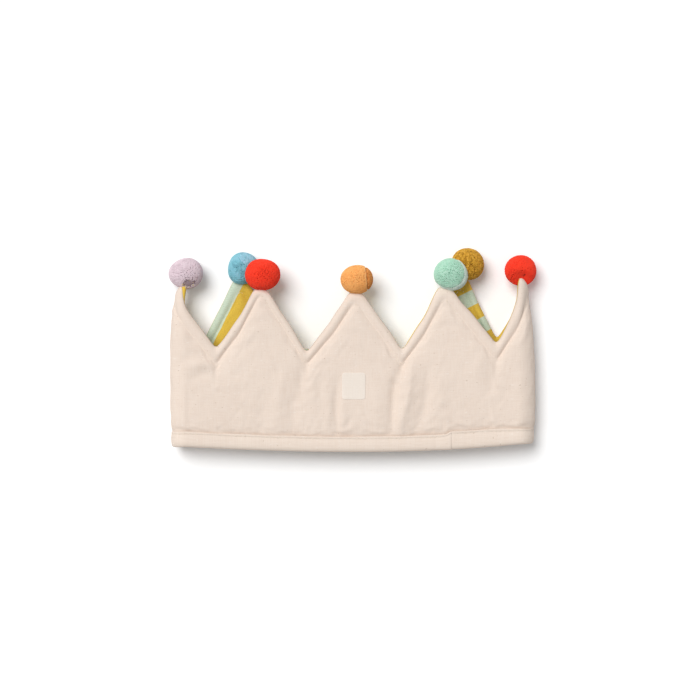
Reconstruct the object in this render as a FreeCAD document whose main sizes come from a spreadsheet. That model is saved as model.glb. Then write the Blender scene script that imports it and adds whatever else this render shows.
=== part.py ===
import FreeCAD, Part
import math
import os

# A padded cloth dress-up crown, lying flat on its back layer.
# X runs across the crown, Y from the hem to the peaks, Z up from the table.
# The wall is one long strip, closed into a ring and pressed flat: a front run,
# a round fold at each side and a back run. The strip is drawn flat first, with
# "girth" along it (0 at the middle of the front) and "rise" up from the hem,
# and then wrapped round the flattened ring.

os.makedirs("parts", exist_ok=True)
doc = FreeCAD.newDocument("PaddedCrown")
Vec = FreeCAD.Vector

# Driving dimensions, in millimetres
sizes = {
    "halfRun": 119.5,         # half of the straight run between the folds
    "foldRadius": 11.6,       # outside of the cover at the folds
    "wallThick": 7.0,         # cover, wadding and lining together
    "coverThick": 1.0,
    "liningThick": 1.0,
    "crownHeight": 117.0,     # hem to the tip of a peak
    "valleyHeight": 74.7,     # hem to the bottom of a valley
    "peakPitch": 67.2,        # from one peak to the next, along the strip
    "middlePeak": 2.4,        # how far the middle peak stands off centre
    "tipWidth": 6.0,          # blunt end of a peak
    "frontSag": 4.5,          # how far the front layer has slid down
    "borderWidth": 7.0,       # edge to border stitching
    "grooveWidth": 1.4,
    "grooveDepth": 0.5,
    "edgeEase": 1.0,          # the roll of the edge, drawn as a step
    "hemHeight": 11.0,
    "hemThick": 0.9,
    "lapPlace": 69.4,         # where the ends of the hem band lap
    "lapWidth": 5.0,
    "lapThick": 0.6,
    "labelWidth": 17.0,
    "labelHeight": 19.4,
    "labelThick": 0.6,
    "labelRound": 2.5,
    "labelAcross": 0.8,
    "labelRise": 43.2,        # hem to the middle of the patch
    "seatGap": 0.3,           # pompom to cloth, and pompom to pompom
    "frontStand": 9.0,        # tip of a peak to the middle of its pompom
    "foldStand": 6.5,
    "backStand": 6.7,
    "frontLift": 0.5,         # pompom above the middle of the front wall
    "foldLift": 0.2,          # pompom above the middle of the fold
}

# Each peak, from the left of the back round the front to the right of the back
peaks = {
    # name: place in the row, layer, shift, extra rise, pompom size, pompom lean
    "blue": (-3, "back", 4.3, 5.0, 22.5, 1.2),
    "lavender": (-2, "fold", 0.0, 1.0, 23.4, 6.5),
    "redLeft": (-1, "front", 0.0, 0.0, 24.0, 0.0),
    "orange": (0, "front", 0.0, -1.0, 22.5, 0.4),
    "mint": (1, "front", 0.0, 0.5, 24.0, 1.1),
    "redRight": (2, "fold", 0.0, 3.0, 22.4, -7.1),
    "mustard": (3, "back", -6.0, 7.0, 23.6, 5.7),
}
for name, (place, layer, shift, rise, across, lean) in peaks.items():
    sizes[name + "Shift"] = shift
    sizes[name + "Rise"] = rise
    sizes[name + "Across"] = across
    sizes[name + "Lean"] = lean

sheet = doc.addObject("Spreadsheet::Sheet", "Sizes")
for row, (alias, value) in enumerate(sizes.items(), 1):
    sheet.set("A%d" % row, alias)
    sheet.set("B%d" % row, str(value))
    sheet.setAlias("B%d" % row, alias)
doc.recompute()


def size(alias):
    return float(sheet.get(alias))


# The radii of the wall's layers at the folds, outside to inside
coverOut = size("foldRadius")
coverIn = coverOut - size("coverThick")
liningIn = coverOut - size("wallThick")
liningOut = liningIn + size("liningThick")
wallMiddle = coverOut - size("wallThick") / 2
halfGirth = 2 * size("halfRun") + math.pi * coverOut
middleHeight = coverOut + size("hemThick")

# Where the drawing reaches past the strip, so that cuts run right through
beyond = 30.0
tolerance = 1e-4


def sagAt(girth):
    share = min(abs(girth) / size("halfRun"), 1.0)
    return size("frontSag") * (1 - share ** 2)


def tipGirth(name):
    place = peaks[name][0]
    return size("middlePeak") + place * size("peakPitch") + size(name + "Shift")


def tipRise(name):
    rise = size("crownHeight") + size(name + "Rise")
    return rise - sagAt(tipGirth(name))


def tipAcross(name):
    """Where the tip stands across the flattened ring."""
    girth = tipGirth(name)
    side = math.copysign(1, girth)
    past = abs(girth) - size("halfRun")
    if past <= 0:
        return girth
    if past < math.pi * coverOut:
        return side * (size("halfRun") + wallMiddle * math.sin(past / coverOut))
    return side * (halfGirth - abs(girth))


# The strip drawn flat

def flatFace(points):
    corners = [Vec(x, y, 0) for x, y in points]
    return Part.Face(Part.makePolygon(corners + corners[:1]))


def underPeaks(inset):
    """Everything below the zigzag edge, moved in from that edge."""
    pitch = size("peakPitch")
    first = size("middlePeak") - 3.5 * pitch
    low = size("valleyHeight")
    points = [(-halfGirth - beyond, -beyond), (-halfGirth - beyond, low)]
    for count, name in enumerate(peaks):
        valley = first + count * pitch
        points.append((valley, low - sagAt(valley)))
        tip = tipGirth(name)
        for side in (-0.5, 0.5):
            points.append((tip + side * size("tipWidth"), tipRise(name)))
    last = first + len(peaks) * pitch
    points.append((last, low - sagAt(last)))
    points += [(halfGirth + beyond, low), (halfGirth + beyond, -beyond)]
    face = flatFace(points)
    if inset:
        face = face.makeOffset2D(-inset, join=2)
    return face


def aboveHem(rise):
    """Everything above a line that follows the hem."""
    run = size("halfRun")
    left = Vec(-run, rise, 0)
    middle = Vec(0, rise - size("frontSag"), 0)
    right = Vec(run, rise, 0)
    top = size("crownHeight") + 2 * beyond
    around = Part.makePolygon([
        right, Vec(halfGirth, rise, 0), Vec(halfGirth, top, 0),
        Vec(-halfGirth, top, 0), Vec(-halfGirth, rise, 0), left])
    hem = Part.Arc(left, middle, right).toShape()
    return Part.Face(Part.Wire([hem] + around.Edges))


def region(inset, rise):
    return underPeaks(inset).common(aboveHem(rise))


# Wrapping the strip

def foldSolid(face, run, inner, outer):
    """A piece of the strip on a fold: its outer face, thickened inwards."""
    corners = [v.Point for v in face.OuterWire.OrderedVertexes]
    surface = Part.Cylinder()
    surface.Radius = outer
    edges = []
    for start, end in zip(corners, corners[1:] + corners[:1]):
        angles = [(point.x - run) / coverOut for point in (start, end)]
        flat = Part.Geom2d.Line2dSegment(
            FreeCAD.Base.Vector2d(angles[0], start.y),
            FreeCAD.Base.Vector2d(angles[1], end.y))
        edges.append(flat.toShape(surface))
    skin = Part.Face(surface, Part.Wire(edges))
    solid = skin.makeOffsetShape(inner - outer, tolerance, fill=True).Solids[0]
    # Turned so that the fold's axis runs along Y and angle 0 points up
    turn = FreeCAD.Rotation(Vec(1, 1, 1), -120)
    solid.Placement = FreeCAD.Placement(Vec(run, 0, 0), turn)
    return solid


def wrap(face, inner, outer):
    """The strip's region as a solid round the flattened ring."""
    run = size("halfRun")
    fold = math.pi * coverOut
    depth = size("crownHeight") + 2 * beyond
    solids = []
    zones = [(-halfGirth, -run - fold, "back"), (-run - fold, -run, "left"),
             (-run, run, "front"), (run, run + fold, "right"),
             (run + fold, halfGirth, "back")]
    for start, end, kind in zones:
        window = Part.makePlane(end - start, 2 * depth, Vec(start, -depth, 0))
        for piece in face.common(window).Faces:
            if kind == "front":
                piece.translate(Vec(0, 0, inner))
                solids.append(piece.extrude(Vec(0, 0, outer - inner)))
            elif kind == "back":
                piece.translate(Vec(0, 0, inner))
                solid = piece.extrude(Vec(0, 0, outer - inner))
                over = FreeCAD.Rotation(Vec(0, 1, 0), 180)
                middle = math.copysign(halfGirth, start + end)
                turned = FreeCAD.Placement(Vec(middle, 0, 0), over)
                solids.append(solid.transformShape(turned.toMatrix()))
            else:
                side = run if kind == "right" else -run
                solids.append(foldSolid(piece, side, inner, outer))
    return solids


def joined(solids):
    return solids[0].multiFuse(solids[1:]).removeSplitter()


# Distance from the hem's lowest point to the top pompom's crown
tops = []
for name, (place, layer, *rest) in peaks.items():
    tops.append(tipRise(name) + size(layer + "Stand") + size(name + "Across") / 2)
centreRise = (max(tops) - size("frontSag")) / 2
settled = FreeCAD.Placement(Vec(0, -centreRise, middleHeight), FreeCAD.Rotation())


def clothPiece(label, solids):
    piece = doc.addObject("Part::Feature", label)
    piece.Label = label
    piece.Shape = joined(solids)
    piece.Placement = settled
    return piece


# The cover: canvas skin, turned-in edge, border roll and panel with the
# stitched groove between them
def makeCover():
    foot = size("hemThick")
    half = size("grooveWidth") / 2
    skin = coverOut - size("grooveDepth")
    whole = region(0, foot)
    edge = whole.cut(region(size("coverThick"), foot))
    border = region(size("edgeEase"), foot).cut(region(size("borderWidth") - half, foot))
    panel = region(size("borderWidth") + half, foot)
    solids = wrap(whole, coverIn, skin) + wrap(edge, wallMiddle, coverIn)
    solids += wrap(border, skin, coverOut) + wrap(panel, skin, coverOut)
    return clothPiece("cover", solids)


def makeWadding():
    inside = region(size("coverThick"), size("hemThick"))
    return clothPiece("wadding", wrap(inside, liningOut, coverIn))


# The lining is two lengths of striped cloth, joined at the middle of the front
# and of the back
def makeLining():
    foot = size("hemThick")
    whole = region(0, foot)
    edge = whole.cut(region(size("coverThick"), foot))
    solids = wrap(whole, liningIn, liningOut) + wrap(edge, liningOut, wallMiddle)
    lining = clothPiece("liningRing", solids)
    reach = "(Sizes.halfRun + Sizes.foldRadius)"
    for side, corner in (("left", "-" + reach), ("right", "0 * " + reach)):
        half = doc.addObject("Part::Box", side + "Half")
        half.setExpression("Length", reach)
        half.setExpression("Width", "4 * Sizes.crownHeight")
        half.setExpression("Height", "4 * Sizes.foldRadius")
        half.setExpression("Placement.Base.x", corner)
        half.setExpression("Placement.Base.y", "-2 * Sizes.crownHeight")
        piece = doc.addObject("Part::Common", "lining_" + side)
        piece.Label = "lining_" + side
        piece.Base = lining
        piece.Tool = half


# The hem band wraps the lower edge, inside and out, and laps at its ends
def makeHemBand():
    thick = size("hemThick")
    band = aboveHem(0).cut(aboveHem(size("hemHeight")))
    sole = aboveHem(0).cut(aboveHem(thick))
    solids = wrap(band, coverOut, coverOut + thick)
    solids += wrap(band, liningIn - thick, liningIn)
    solids += wrap(sole, liningIn, coverOut)
    start = size("lapPlace") - size("lapWidth") / 2
    strip = Part.makePlane(size("lapWidth"), 4 * beyond, Vec(start, -beyond, 0))
    outside = coverOut + thick
    solids += wrap(band.common(strip), outside, outside + size("lapThick"))
    return clothPiece("hem_band", solids)


# A bare cloth patch on the front
def makeLabelPatch():
    blank = doc.addObject("Part::Box", "labelBlank")
    blank.setExpression("Length", "Sizes.labelWidth")
    blank.setExpression("Width", "Sizes.labelHeight")
    blank.setExpression("Height", "Sizes.labelThick")
    blank.setExpression("Placement.Base.x", "Sizes.labelAcross - Sizes.labelWidth / 2")
    blank.Placement.Base.y = size("labelRise") - size("labelHeight") / 2 - centreRise
    blank.setExpression("Placement.Base.z", "2 * Sizes.foldRadius + Sizes.hemThick")
    doc.recompute()
    patch = doc.addObject("Part::Fillet", "label_patch")
    patch.Label = "label_patch"
    patch.Base = blank
    round = size("labelRound")
    upright = []
    for number, edge in enumerate(blank.Shape.Edges, 1):
        if abs(edge.tangentAt(edge.FirstParameter).z) > 0.9:
            upright.append((number, round, round))
    patch.Edges = upright


# The pompoms, each seated over the tip of its peak
nodeNames = {
    "blue": "pompom_blue", "lavender": "pompom_lavender",
    "redLeft": "pompom_red_left", "orange": "pompom_orange",
    "mint": "pompom_mint", "redRight": "pompom_red_right",
    "mustard": "pompom_mustard",
}
# A pompom of the back layer is dented by the one that leans on it
dents = {"blue": "redLeft", "mustard": "mint"}


def makeBall(name, label, gap):
    layer = peaks[name][1]
    ball = doc.addObject("Part::Sphere", label)
    ball.setExpression("Radius", "Sizes.%sAcross / 2%s" % (name, gap))
    heights = {
        "front": "2 * Sizes.foldRadius + Sizes.hemThick - Sizes.wallThick / 2 + Sizes.frontLift",
        "fold": "Sizes.foldRadius + Sizes.hemThick + Sizes.foldLift",
        "back": "Sizes.%sAcross / 2" % name,
    }
    ball.setExpression("Placement.Base.z", heights[layer])
    rise = tipRise(name) + size(layer + "Stand") - centreRise
    ball.Placement.Base.x = tipAcross(name) + size(name + "Lean")
    ball.Placement.Base.y = rise
    return ball


def makePompoms():
    gap = size("seatGap")
    room = clothPiece("seatRoom", wrap(region(-gap, 0), liningIn - gap, coverOut + gap))
    for name, node in nodeNames.items():
        ball = makeBall(name, name + "Ball", "")
        if name in dents:
            other = dents[name]
            pressing = makeBall(other, other + "Room", " + Sizes.seatGap")
            dented = doc.addObject("Part::Cut", name + "Dented")
            dented.Base = ball
            dented.Tool = pressing
            ball = dented
        pompom = doc.addObject("Part::Cut", node)
        pompom.Label = node
        pompom.Base = ball
        pompom.Tool = room


makeCover()
makeWadding()
makeLining()
makeHemBand()
makeLabelPatch()
makePompoms()
doc.recompute()

nodes = ["cover", "wadding", "lining_left", "lining_right", "hem_band", "label_patch"]
nodes += list(nodeNames.values())
for item in doc.Objects:
    if "Invalid" in item.State or "Error" in item.State:
        raise RuntimeError("failed: " + item.Label)
for node in nodes:
    shape = doc.getObject(node).Shape
    if shape.isNull() or not shape.isValid() or not shape.Solids:
        raise RuntimeError("bad shape: " + node)
    print("%-18s solids %d  volume %.0f mm3" % (node, len(shape.Solids), shape.Volume))
for node in nodes:
    doc.getObject(node).Shape.exportStep("parts/%s.step" % node)
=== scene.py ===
import bmesh
import bpy
import math
import random
from mathutils import Matrix, Vector
import numpy as np


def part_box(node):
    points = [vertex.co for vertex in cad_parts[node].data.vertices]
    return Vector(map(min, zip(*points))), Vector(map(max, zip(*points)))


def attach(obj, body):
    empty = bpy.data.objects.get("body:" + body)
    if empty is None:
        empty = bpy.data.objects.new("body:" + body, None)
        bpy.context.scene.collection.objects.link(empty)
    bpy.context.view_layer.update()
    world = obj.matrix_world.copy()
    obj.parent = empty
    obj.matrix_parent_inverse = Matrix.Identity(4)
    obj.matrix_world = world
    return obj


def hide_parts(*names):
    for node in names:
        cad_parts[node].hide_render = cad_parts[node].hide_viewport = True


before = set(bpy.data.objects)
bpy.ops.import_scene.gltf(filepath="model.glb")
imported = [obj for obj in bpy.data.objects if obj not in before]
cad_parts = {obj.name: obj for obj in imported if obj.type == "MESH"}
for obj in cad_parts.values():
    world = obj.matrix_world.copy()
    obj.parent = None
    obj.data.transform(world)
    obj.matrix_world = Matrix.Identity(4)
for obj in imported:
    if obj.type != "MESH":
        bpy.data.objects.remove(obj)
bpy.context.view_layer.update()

mm = 0.001
random.seed(7)
print("frame loaded")

# Lengths are in millimetres until a finished mesh is scaled to metres.
# "girth" runs round the ring from the middle of the front, "rise" up from the
# hem, and "out" away from the middle of the wall.


def boxOf(node):
    return [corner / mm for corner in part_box(node)]


coverLow, coverHigh = boxOf("cover")
hemLow = boxOf("hem_band")[0]
# The lowest points stay this far above the table
clear = {"wall": 0.4, "hem": 0.1, "pompom": 0.45}

ring = {
    "foldRadius": (coverHigh.z - coverLow.z) / 2,
    "middleHeight": (coverHigh.z + coverLow.z) / 2,
    "wallMiddle": 3.5,       # cover's outside to the middle of the wall
    "frontSag": 4.5,         # the front layer has slid down by this
    "hemHeight": 11.0,
    "lapPlace": 69.4,        # where the hem band's ends lap
    "foldMiddle": 137.5,     # girth at the middle of a side fold
    "columns": 252,
}
ring["halfRun"] = coverHigh.x - ring["foldRadius"]
ring["halfGirth"] = 2 * ring["halfRun"] + math.pi * ring["foldRadius"]
ring["hemLine"] = hemLow.y + ring["frontSag"]

# Each peak: where its tip is round the ring, how high, half its blunt end, and
# how far below the flanks' meeting point the border's stitching turns
peaks = {
    "blue": (-193.6, 121.0, 3.6, 14.0),
    "lavender": (-137.2, 117.4, 3.8, 17.0),
    "redLeft": (-66.4, 117.2, 4.2, 10.5),
    "orange": (1.9, 115.6, 4.6, 14.0),
    "mint": (65.9, 117.6, 4.0, 14.0),
    "redRight": (135.8, 117.6, 6.6, 20.0),
    "mustard": (196.4, 122.0, 3.6, 14.0),
}
# Each valley: where, how high, and how far below it the stitching turns
valleys = [(-235.0, 69.5, 7.0), (-166.5, 76.0, 12.0), (-98.4, 72.2, 12.0), (-33.2, 71.8, 9.2),
           (35.5, 73.4, 11.4), (103.6, 73.8, 12.3), (170.8, 76.0, 12.0), (236.0, 69.5, 7.0)]
edge = {
    "softTip": 2.4,          # how far the corners are rounded
    "softValley": 0.9,
    "tipsAbove": 100.0,
    "waver": 0.55,           # cut and sewn by hand, so never quite straight
    "seamWaver": 0.25,
    "bowed": {"redLeft": 2.9, "orange": 1.9, "mint": 2.7},     # left flanks that pull in
}


def smoothStep(low, high, value):
    share = np.clip((value - low) / (high - low), 0, 1)
    return share * share * (3 - 2 * share)


def zigzag(girth, blunt):
    spots = [(-ring["halfGirth"] - 20, valleys[0][1])]
    for before, after, name in zip(valleys, valleys[1:], peaks):
        tip, rise, half, _ = peaks[name]
        spots.append(before)
        if name in edge["bowed"]:
            inward = (before[0] + tip - half) / 2 + edge["bowed"][name]
            spots.append((inward, (before[1] + rise) / 2))
        if blunt:
            spots += [(tip - half, rise), (tip + half, rise)]
        else:        # the flanks run on to a sharp point
            left = (rise - before[1]) / (tip - half - before[0])
            right = (rise - after[1]) / (after[0] - tip - half)
            spots.append((tip, rise + half * (left + right) / 2))
    spots += [valleys[-1], (ring["halfGirth"] + 20, valleys[-1][1])]
    return np.interp(girth, *zip(*[spot[:2] for spot in spots]))


def softened(girth, blunt):
    high = zigzag(girth, blunt) > edge["tipsAbove"]
    reach = np.where(high, edge["softTip"], edge["softValley"])
    return np.mean([zigzag(girth + step * reach, blunt) for step in np.linspace(-1, 1, 9)], axis=0)


def waver(girth, shift, much):
    return much * (np.sin(girth / 4.3 + shift + 1.7 * np.sin(girth / 19))
                   + 0.7 * np.sin(girth / 2.3 + 2 * shift + np.sin(girth / 11)))


def edgeRise(girth):
    return softened(girth, True) + waver(girth, 0.6, edge["waver"])


def grooveRise(girth):
    spots = [(-ring["halfGirth"] - 20, valleys[0][2])]
    for valley, peak in zip(valleys, peaks.values()):
        spots += [(valley[0], valley[2]), (peak[0], peak[3])]
    spots += [(valleys[-1][0], valleys[-1][2]), (ring["halfGirth"] + 20, valleys[-1][2])]
    return softened(girth, False) - np.interp(girth, *zip(*spots)) + waver(girth, 2.1, edge["seamWaver"])


# Where the lining shows past the cover's edge: from, to, how far above it. By
# the lavender pompom it shows beside the edge too
peeps = [(38, 61, 1.4), (106, 131, 1.0), (-136.5, -127, 4.0)]
sidePeep = {"girth": -131.5, "wide": 4.6, "above": 96.0, "far": 2.3}


def peep(girth):
    shown = np.zeros_like(girth)
    for start, end, far in peeps:
        shown += far * smoothStep(start - 3, start + 3, girth) * (1 - smoothStep(end - 3, end + 3, girth))
    return shown


def hemTop(girth):
    # right of its lap the band was folded over a little taller
    taller = smoothStep(ring["lapPlace"] - 2, ring["lapPlace"] + 1, girth)
    return ring["hemHeight"] + 2.0 * taller * (1 - smoothStep(92, 130, girth))


def foldTurn(girth, rise):
    # the folds slant near the top, where the side peaks lie more to the front
    twist = np.where(girth < 0, lay["twistLeft"], lay["twistRight"])
    near = np.exp(-(((np.abs(girth) - lay["sidePeak"]) / 24) ** 4))
    return np.abs(girth) - twist * near * np.clip((rise - 92) / 27, 0, 1) ** 1.5


def wrapRing(girth, rise, out):
    run, radius = ring["halfRun"], ring["foldRadius"]
    far = foldTurn(girth, rise)
    turn = np.clip((far - run) / radius, 0, math.pi)
    back = np.maximum(far - run - math.pi * radius, 0)
    reach = radius - ring["wallMiddle"] + out
    x = np.sign(girth) * (np.minimum(far, run) - back + reach * np.sin(turn))
    z = ring["middleHeight"] + reach * np.cos(turn)
    return np.stack([x, ring["hemLine"] + rise + 0 * x, z], axis=-1)


# How the ring lies once it is pressed flat: the front has slid down, the side
# peaks lean in and the tips of the back rest against their pompoms
lay = {
    "leanLeft": (3.3, 92.0, 1.8),      # how far, from which rise, how curved
    "leanRight": (3.6, 60.0, 1.6),
    "leanTo": 116.0,
    "sidePeak": 136.0,                 # girth of the peaks at the folds
    "twistLeft": 2.0,
    "twistRight": 5.6,
    "tilt": 1.1,
    "backLift": 5.0,                   # tips of the back, up to their pompoms
    "crown": 0.7,                      # the front is rounded by its wadding
    "tipLift": 4.0,                    # right side peak, bent over its pompom
}


def settle(points, girth, rise):
    points = points.copy()
    run = ring["halfRun"]
    share = np.clip(np.abs(girth) / run, 0, 1)
    points[..., 1] -= ring["frontSag"] * (1 - share ** 2)
    points[..., 1] += lay["tilt"] * (points[..., 0] / 125) ** 3
    for sign, (far, low, curve) in ((1, lay["leanLeft"]), (-1, lay["leanRight"])):
        high = np.clip((rise - low) / (lay["leanTo"] - low), 0, 1.2)
        near = np.exp(-(((girth + sign * lay["sidePeak"]) / 20) ** 4))
        points[..., 0] += sign * far * near * high ** curve
    lifted = np.exp(-(((girth - 134) / 9) ** 2)) * smoothStep(104, 120, rise)
    points[..., 2] += lay["tipLift"] * lifted
    points[..., 1] += lay["tipLift"] * 0.3 * lifted
    foldEnd = run + math.pi * ring["foldRadius"]
    behind = smoothStep(foldEnd, foldEnd + 16, np.abs(girth))
    points[..., 2] += lay["backLift"] * behind * np.clip((rise - 82) / 38, 0, 1) ** 2
    front = 1 - smoothStep(run - 45, run, np.abs(girth))
    points[..., 2] += lay["crown"] * front * np.sin(np.clip(rise / 80, 0, 1) * math.pi)
    return points


# Folds and puckers of the front, each a line across the photograph's frame
photo = {"scale": 0.72, "middleX": 352.6, "middleY": 350.0, "pixels": 700}


def fromPhoto(x, y):
    return ((x - photo["middleX"]) * photo["scale"], (photo["middleY"] - y) * photo["scale"])


creases = [
    # line in the photograph, height, width
    ([(214, 365), (205, 364), (195, 365.5), (186, 369)], 2.6, 2.2),
    ([(211, 373), (202, 374), (192, 378)], -0.7, 2.6),
    ([(216, 364), (221, 367), (226, 372)], -0.8, 1.8),
    ([(404, 363), (398, 375), (394, 388), (393, 410), (391, 433)], -3.2, 2.5),
    ([(411, 363), (410, 380), (407, 400), (402, 418), (399, 433)], 2.2, 3.6),
    ([(427, 372), (427, 390), (424, 410), (414, 433)], -1.6, 3.6),
    ([(440, 378), (441, 400), (436, 420)], 0.8, 5.0),
    ([(306, 363), (302, 376), (299, 398)], -1.6, 2.6),
    ([(313, 366), (312, 385), (314, 412)], 1.0, 3.6),
    ([(326, 380), (328, 405), (330, 430)], 0.8, 3.4),
    ([(337, 380), (336.5, 405), (337, 433)], -2.0, 2.0),
    ([(343, 400), (343, 418), (344, 433)], 1.0, 2.4),
    ([(286, 368), (280, 395), (276, 430)], 0.9, 4.2),
    ([(294, 392), (293, 410), (292, 432)], -1.0, 3.6),
    ([(264, 398), (262, 415), (262, 431)], -0.6, 3.4),
    ([(374, 380), (377, 402), (376, 430)], 0.8, 4.5),
    ([(495, 364), (492, 378), (487, 394)], -0.9, 2.8),
    ([(484, 358), (478, 366), (474, 378)], 0.8, 3.2),
    ([(531, 308), (533.5, 345), (534.5, 392)], -1.2, 1.6),
    ([(176, 330), (175, 370), (176, 410)], 0.5, 2.6),
]


def creaseHeight(x, y):
    height = np.zeros_like(x)
    for line, tall, wide in creases:
        spots = [np.array(fromPhoto(*spot)) for spot in line]
        nearest = np.full_like(x, 1e9)
        along = np.zeros_like(x)
        for count, (start, end) in enumerate(zip(spots, spots[1:])):
            step = end - start
            share = np.clip(((x - start[0]) * step[0] + (y - start[1]) * step[1])
                            / step.dot(step), 0, 1)
            away = np.hypot(x - start[0] - share * step[0], y - start[1] - share * step[1])
            along = np.where(away < nearest, (count + share) / (len(spots) - 1), along)
            nearest = np.minimum(nearest, away)
        fade = 0.35 + 0.65 * np.sin(np.clip(along, 0.02, 0.98) * math.pi)
        height += tall * fade * np.exp(-((nearest / wide) ** 1.5))
    return height


def ripple(girth, rise):
    # shallow puckers that rise from the hem's stitching and fade upwards
    waves = (np.sin(girth / 3.1 + 1.3 * np.sin(girth / 17)) * 0.5
             + np.sin(girth / 5.3 + 0.7 + np.sin(girth / 23)) * 0.7)
    nearHem = np.exp(-np.maximum(rise - 11, 0) / 9)
    broad = np.sin(girth / 13 + 0.8 * np.sin(rise / 21)) * np.sin(rise / 17 + girth / 41)
    return 0.36 * waves * nearHem + 0.36 * broad


def linked(name, bm, *materials):
    mesh = bpy.data.meshes.new(name)
    bm.to_mesh(mesh)
    bm.free()
    for face in mesh.polygons:
        face.use_smooth = True
    thing = bpy.data.objects.new(name, mesh)
    bpy.context.scene.collection.objects.link(thing)
    for one in materials:
        mesh.materials.append(one)
    return thing


def newObject(name, bm, *materials):
    bmesh.ops.scale(bm, vec=(mm, mm, mm), verts=bm.verts[:])
    return linked(name, bm, *materials)


def makeFiner(thing):
    finer = thing.modifiers.new("finer", "SUBSURF")
    finer.levels = finer.render_levels = 1


def readPoints(mesh):
    points = np.empty(len(mesh.vertices) * 3)
    mesh.vertices.foreach_get("co", points)
    return points.reshape(-1, 3)


def writePoints(mesh, points):
    mesh.vertices.foreach_set("co", points.ravel())
    mesh.update()


def readAttribute(mesh, name):
    values = np.empty(len(mesh.vertices))
    mesh.attributes[name].data.foreach_get("value", values)
    return values


def finish(thing, nodes=()):
    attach(thing, "root")
    if nodes:
        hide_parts(*nodes)


# Materials, with colours as a screen shows them

def shown(red, green, blue):
    return tuple((channel / 255) ** 2.2 for channel in (red, green, blue)) + (1,)


def material(name, roughness, sheen):
    made = bpy.data.materials.new(name)
    made.use_nodes = True
    nodes, links = made.node_tree.nodes, made.node_tree.links
    shader = nodes["Principled BSDF"]
    shader.inputs["Roughness"].default_value = roughness
    shader.inputs["Sheen Weight"].default_value = sheen
    shader.inputs["Specular IOR Level"].default_value = 0.25
    return made, nodes, links, shader


def mathNode(nodes, links, kind, first, second=None):
    node = nodes.new("ShaderNodeMath")
    node.operation = kind
    for socket, value in zip(node.inputs, (first, second)):
        if value is None:
            continue
        if isinstance(value, (int, float)):
            socket.default_value = value
        else:
            links.new(value, socket)
    return node.outputs[0]


def mixColour(nodes, links, factor, first, second):
    node = nodes.new("ShaderNodeMix")
    node.data_type = "RGBA"
    for spot, value in ((0, factor), (6, first), (7, second)):
        if isinstance(value, (int, float, tuple)):
            node.inputs[spot].default_value = value
        else:
            links.new(value, node.inputs[spot])
    return node.outputs[2]


def noiseNode(nodes, links, vector, scale, detail=2.0, stretch=None):
    if stretch:
        mapping = nodes.new("ShaderNodeMapping")
        mapping.inputs["Scale"].default_value = stretch
        links.new(vector, mapping.inputs["Vector"])
        vector = mapping.outputs[0]
    node = nodes.new("ShaderNodeTexNoise")
    node.inputs["Scale"].default_value = scale
    node.inputs["Detail"].default_value = detail
    links.new(vector, node.inputs["Vector"])
    return node.outputs["Fac"]


def rampNode(nodes, links, value, stops):
    node = nodes.new("ShaderNodeValToRGB")
    ramp = node.color_ramp
    while len(ramp.elements) < len(stops):
        ramp.elements.new(0.5)
    for element, (spot, colour) in zip(ramp.elements, stops):
        element.position = spot
        element.color = colour
    links.new(value, node.inputs["Fac"])
    return node.outputs["Color"]


def bumpNode(nodes, links, shader, height, distance, strength=1.0):
    node = nodes.new("ShaderNodeBump")
    node.inputs["Distance"].default_value = distance
    node.inputs["Strength"].default_value = strength
    links.new(height, node.inputs["Height"])
    links.new(node.outputs["Normal"], shader.inputs["Normal"])


def weaveHeight(nodes, links, uv, pitch):
    # two crossing sets of threads, one over and one under at each crossing
    parts = nodes.new("ShaderNodeSeparateXYZ")
    links.new(uv, parts.inputs[0])
    waves = []
    for axis in (0, 1):
        turned = mathNode(nodes, links, "MULTIPLY", parts.outputs[axis], math.pi / pitch)
        waves.append(mathNode(nodes, links, "SINE", turned))
    crossing = mathNode(nodes, links, "MULTIPLY", waves[0], waves[1])
    return mathNode(nodes, links, "ABSOLUTE", crossing)


canvasLook = {
    "base": shown(239, 221, 206),
    "shade": shown(231, 212, 197),
    "pale": shown(247, 234, 223),
    "speck": shown(178, 152, 128),
    "thread": 0.00055,
}


def canvasMaterial(name, look, bump=0.00010):
    made, nodes, links, shader = material(name, 0.92, 0.04)
    uv = nodes.new("ShaderNodeUVMap")
    uv.uv_map = "cloth"
    place = uv.outputs[0]
    slubAcross = noiseNode(nodes, links, place, 1.0, 3, (90, 1500, 1))
    slubUp = noiseNode(nodes, links, place, 1.0, 3, (1500, 80, 1))
    slubs = mathNode(nodes, links, "ADD", slubAcross, slubUp)
    cloudy = noiseNode(nodes, links, place, 28, 3)
    fleck = noiseNode(nodes, links, place, 1.0, 1, (420, 620, 1))
    tone = rampNode(nodes, links, slubs, [(0.80, look["shade"]), (1.0, look["base"]),
                                          (1.22, look["pale"])])
    mild = mixColour(nodes, links, 0.25, look["base"], tone)
    cloud = rampNode(nodes, links, cloudy, [(0.35, look["shade"]), (0.62, look["base"])])
    toned = mixColour(nodes, links, 0.25, mild, cloud)
    darkSpot = rampNode(nodes, links, fleck, [(0.715, (0, 0, 0, 1)), (0.78, (1, 1, 1, 1))])
    specked = mixColour(nodes, links, mathNode(nodes, links, "MULTIPLY", darkSpot, 0.4),
                        toned, look["speck"])
    paleFleck = noiseNode(nodes, links, place, 1.0, 1, (300, 700, 4))
    paleSpot = rampNode(nodes, links, paleFleck, [(0.67, (0, 0, 0, 1)), (0.75, (1, 1, 1, 1))])
    flecked = mixColour(nodes, links, mathNode(nodes, links, "MULTIPLY", paleSpot, 0.6),
                        specked, look["pale"])
    links.new(flecked, shader.inputs["Base Color"])
    weave = weaveHeight(nodes, links, place, look["thread"])
    height = mathNode(nodes, links, "ADD", weave, mathNode(nodes, links, "MULTIPLY", slubs, 0.9))
    bumpNode(nodes, links, shader, height, bump)
    return made


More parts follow.
